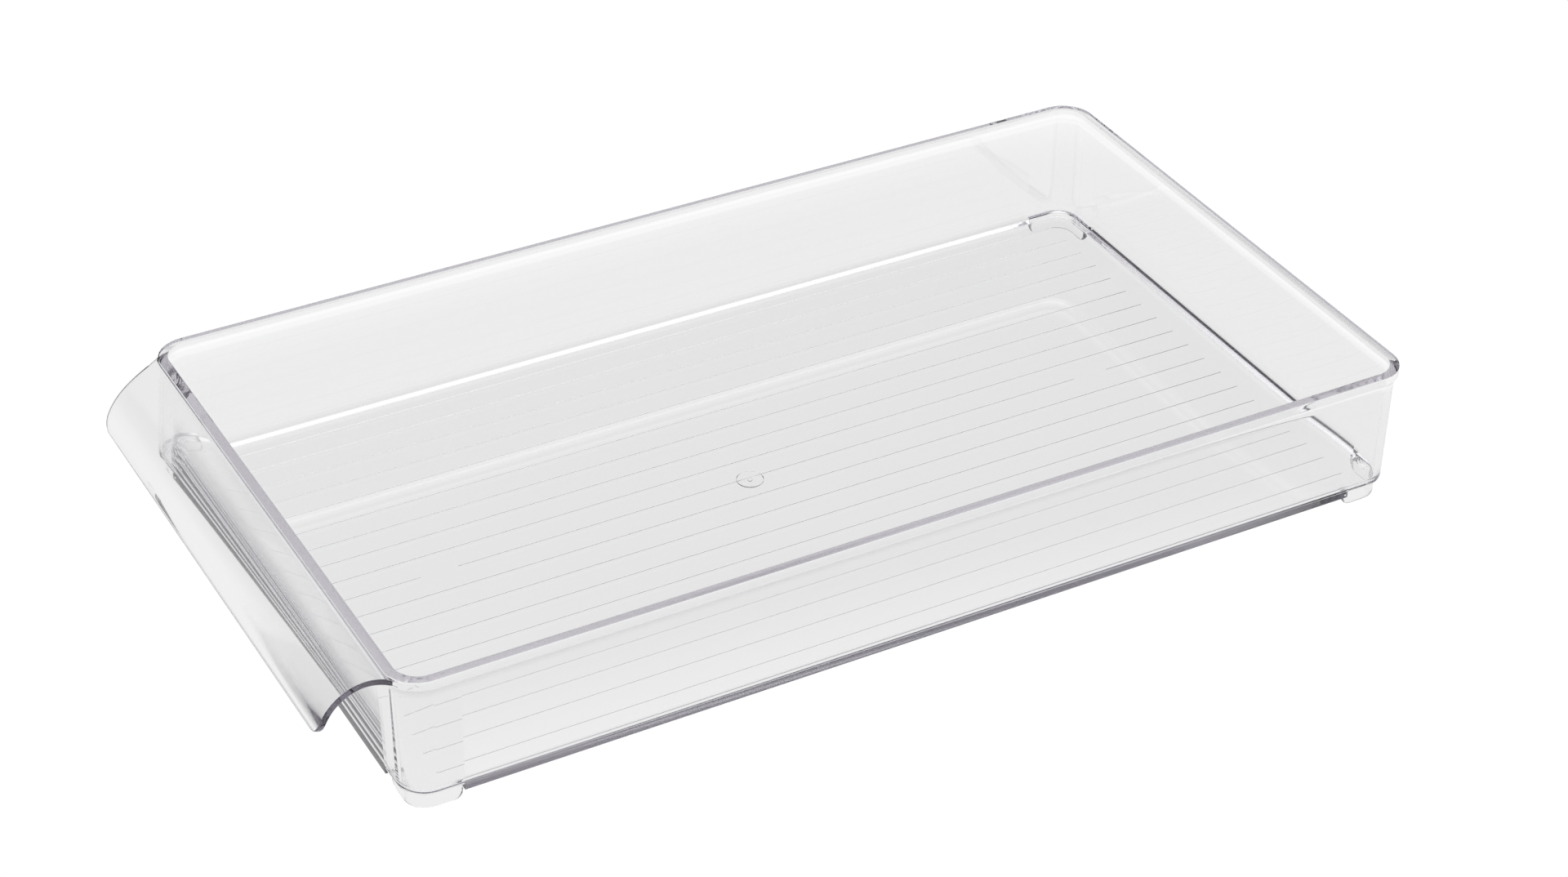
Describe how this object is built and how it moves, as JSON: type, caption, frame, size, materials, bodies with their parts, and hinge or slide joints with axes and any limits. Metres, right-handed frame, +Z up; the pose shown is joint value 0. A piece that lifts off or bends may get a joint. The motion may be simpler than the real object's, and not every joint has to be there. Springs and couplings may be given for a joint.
{
  "type": "letter tray",
  "caption": "Shallow clear moulded tray with rounded corners, beaded rim, curled pull lip on one short end, ribbed floor and corner feet that nest in the rim below.",
  "frame": {"origin": "on the surface the feet stand on, under the middle of the overall length and width, pull lip included", "axes": "+X along the tray away from the pull lip, +Y across it, +Z up"},
  "size_m": [0.371, 0.2, 0.049],
  "materials": {
    "clear_plastic": "clear, polished, faint grey-lilac tint where the light runs far through it"
  },
  "bodies": {
    "root": {"floor_panel": "clear_plastic", "front_wall": "clear_plastic", "rear_wall": "clear_plastic", "left_wall": "clear_plastic", "right_wall": "clear_plastic", "corner_front_left": "clear_plastic", "corner_front_right": "clear_plastic", "corner_rear_left": "clear_plastic", "corner_rear_right": "clear_plastic", "rim": "clear_plastic", "handle_lip": "clear_plastic", "foot_front_left": "clear_plastic", "foot_front_right": "clear_plastic", "foot_rear_left": "clear_plastic", "foot_rear_right": "clear_plastic", "floor_ribs": "clear_plastic", "gate_mark": "clear_plastic"}
  },
  "joints": []
}
